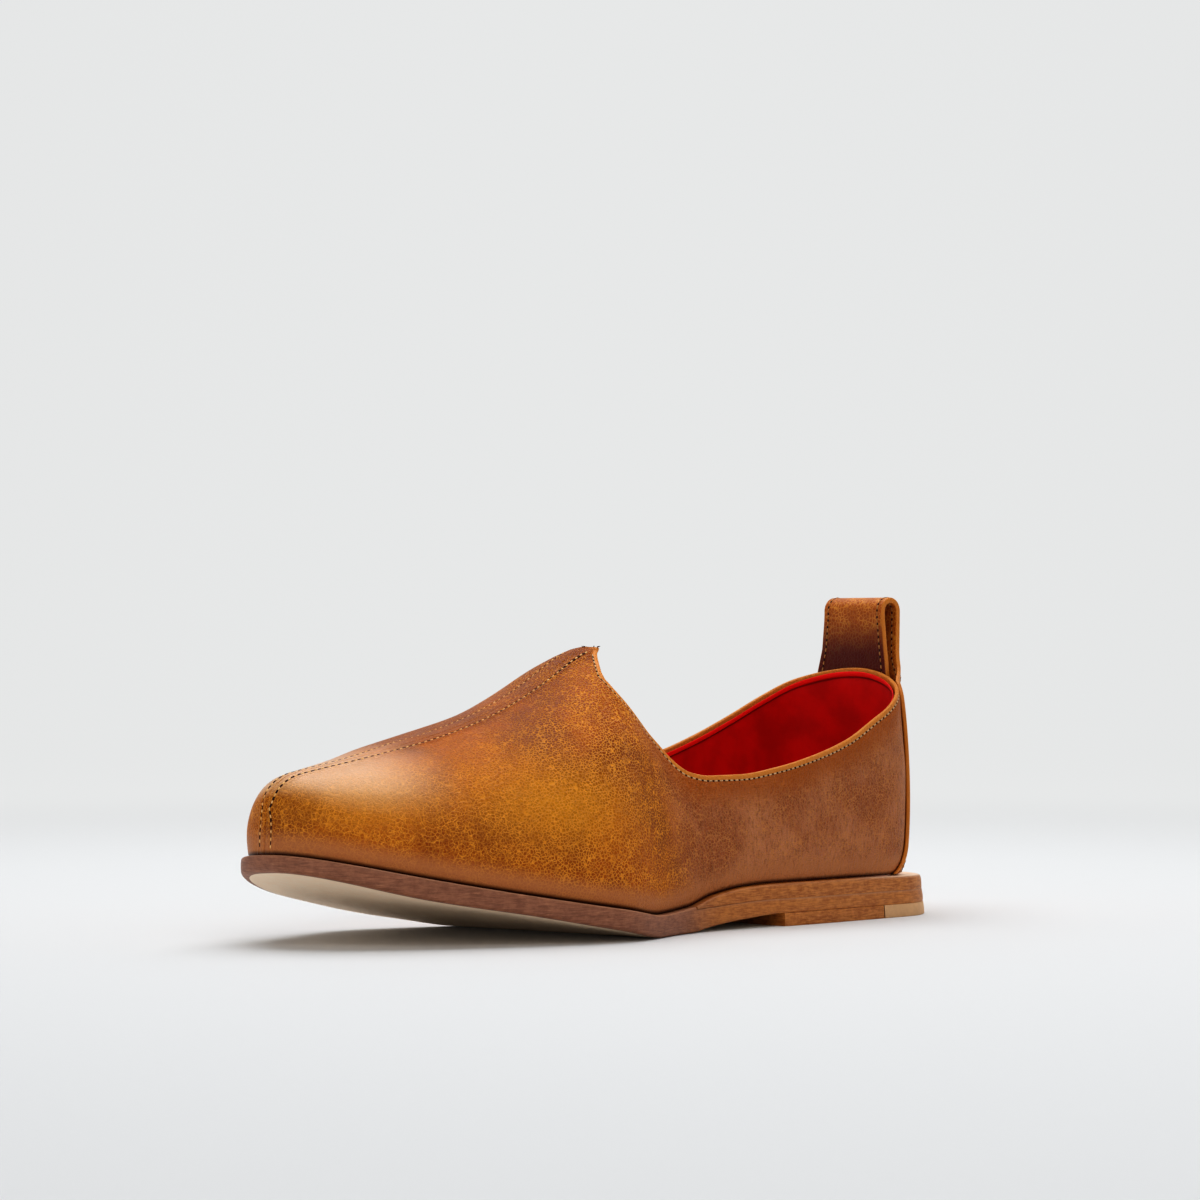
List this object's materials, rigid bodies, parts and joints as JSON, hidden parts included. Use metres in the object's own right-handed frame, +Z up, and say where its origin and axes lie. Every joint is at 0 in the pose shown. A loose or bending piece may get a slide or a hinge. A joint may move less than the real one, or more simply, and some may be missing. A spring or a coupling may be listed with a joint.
{
  "type": "khussa shoe",
  "caption": "Left slip-on khussa in tan grained leather: squared toe, raised centre seam, low side collar, back strip with pull loop, flat leather sole and low heel.",
  "frame": {"origin": "middle of the sole's plan at the floor", "axes": "+Z up, -Y to the toe, +X to the outer (lateral) side of this left shoe"},
  "size_m": [0.1076, 0.29, 0.1174],
  "materials": {
    "grained_leather": "waxed, pebbled grain, soft shine",
    "insole_leather": "smooth, unfinished",
    "sole_leather": "burnished dark edge, pale tread",
    "stacked_leather": "sanded and burnished edge of layers",
    "heel_rubber": "matt, tan"
  },
  "bodies": {
    "root": {"upper": "grained_leather", "back_strip": "grained_leather", "pull_loop": "grained_leather", "insole": "insole_leather", "outsole": "sole_leather", "heel_wedge": "stacked_leather", "heel_lift": "stacked_leather", "heel_tip": "heel_rubber"}
  },
  "joints": []
}
